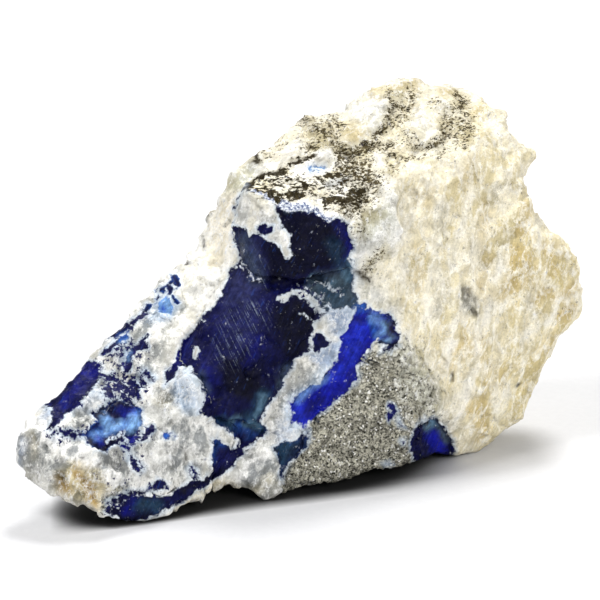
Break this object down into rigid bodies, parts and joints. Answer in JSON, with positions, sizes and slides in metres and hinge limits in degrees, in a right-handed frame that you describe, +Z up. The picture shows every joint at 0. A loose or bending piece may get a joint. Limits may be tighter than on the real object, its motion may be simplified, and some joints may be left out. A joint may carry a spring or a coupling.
{
  "type": "afghanite in calcite",
  "caption": "Hand-sized cream and white calcite stone with a large navy afghanite crystal, smaller blue afghanite crystals and a grey pyrite grain mass set in it.",
  "frame": {"origin": "on the ground under the middle of the specimen's bounding box, as it rests", "axes": "+Z up as it rests, +X along its length from the grey nose to the cream end, display side towards -Y"},
  "size_m": [0.0811, 0.0573, 0.0489],
  "materials": {
    "calcite": "coarse broken calcite, satin to waxy",
    "navy_afghanite": "glassy, scratched",
    "cobalt_afghanite": "glassy",
    "zoned_afghanite": "glassy with a pale core",
    "pyrite_grains": "fine glittering grains"
  },
  "bodies": {
    "root": {"calcite_matrix": "calcite", "afghanite_main_crystal": "navy_afghanite", "afghanite_bright_crystal": "cobalt_afghanite", "afghanite_foot_crystal": "cobalt_afghanite", "afghanite_nose_crystal": "navy_afghanite", "afghanite_zoned_crystal": "zoned_afghanite", "afghanite_ridge_crystal": "zoned_afghanite", "pyrite_grain_mass": "pyrite_grains"}
  },
  "joints": []
}
